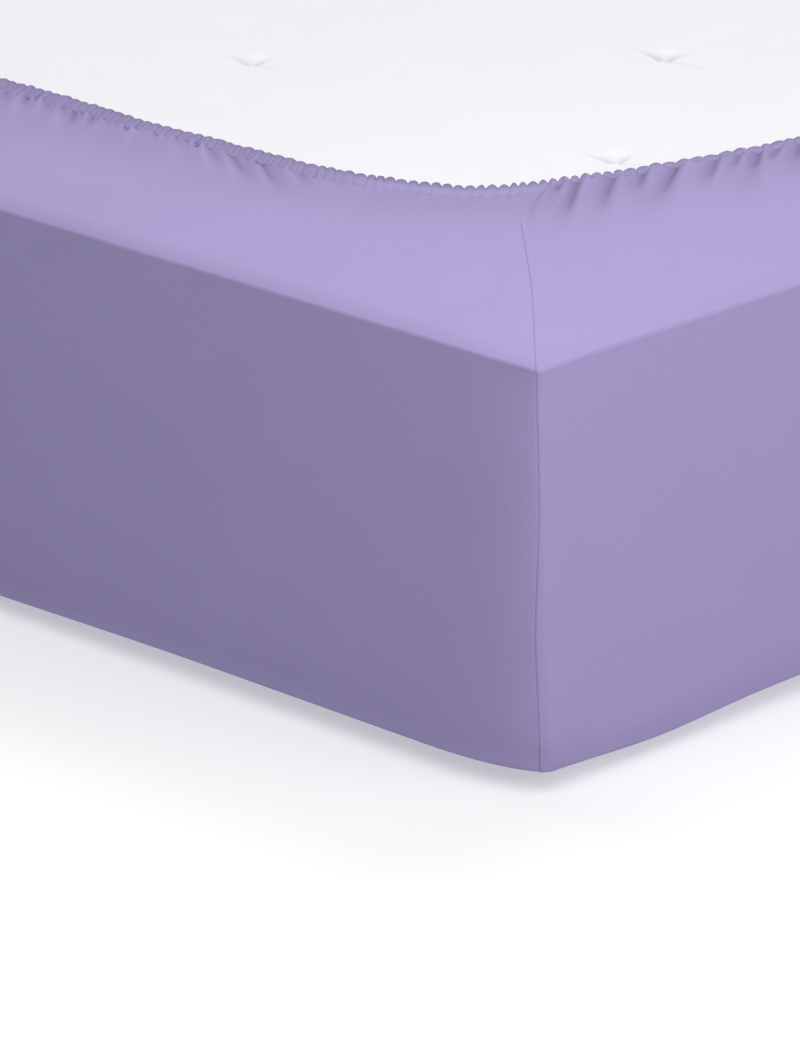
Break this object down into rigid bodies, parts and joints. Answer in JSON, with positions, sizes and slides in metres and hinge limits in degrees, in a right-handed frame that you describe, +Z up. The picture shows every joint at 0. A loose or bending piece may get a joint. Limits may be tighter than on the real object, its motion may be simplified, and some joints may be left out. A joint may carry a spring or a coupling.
{
  "type": "fitted sheet on mattress",
  "caption": "Lavender jersey fitted sheet stretched over a plain single mattress that lies underside up, its gathered elastic hem leaving the middle of the underside bare.",
  "frame": {"origin": "on the floor, below the middle of the part", "axes": "+X along the mattress's length, +Y across it, +Z up from the floor to the mattress's underside"},
  "size_m": [2.0098, 0.9098, 0.2611],
  "materials": {
    "jersey": "matt knitted jersey",
    "ticking": "matt woven ticking"
  },
  "bodies": {
    "root": {"sheet": "jersey", "mattress": "ticking"}
  },
  "joints": []
}
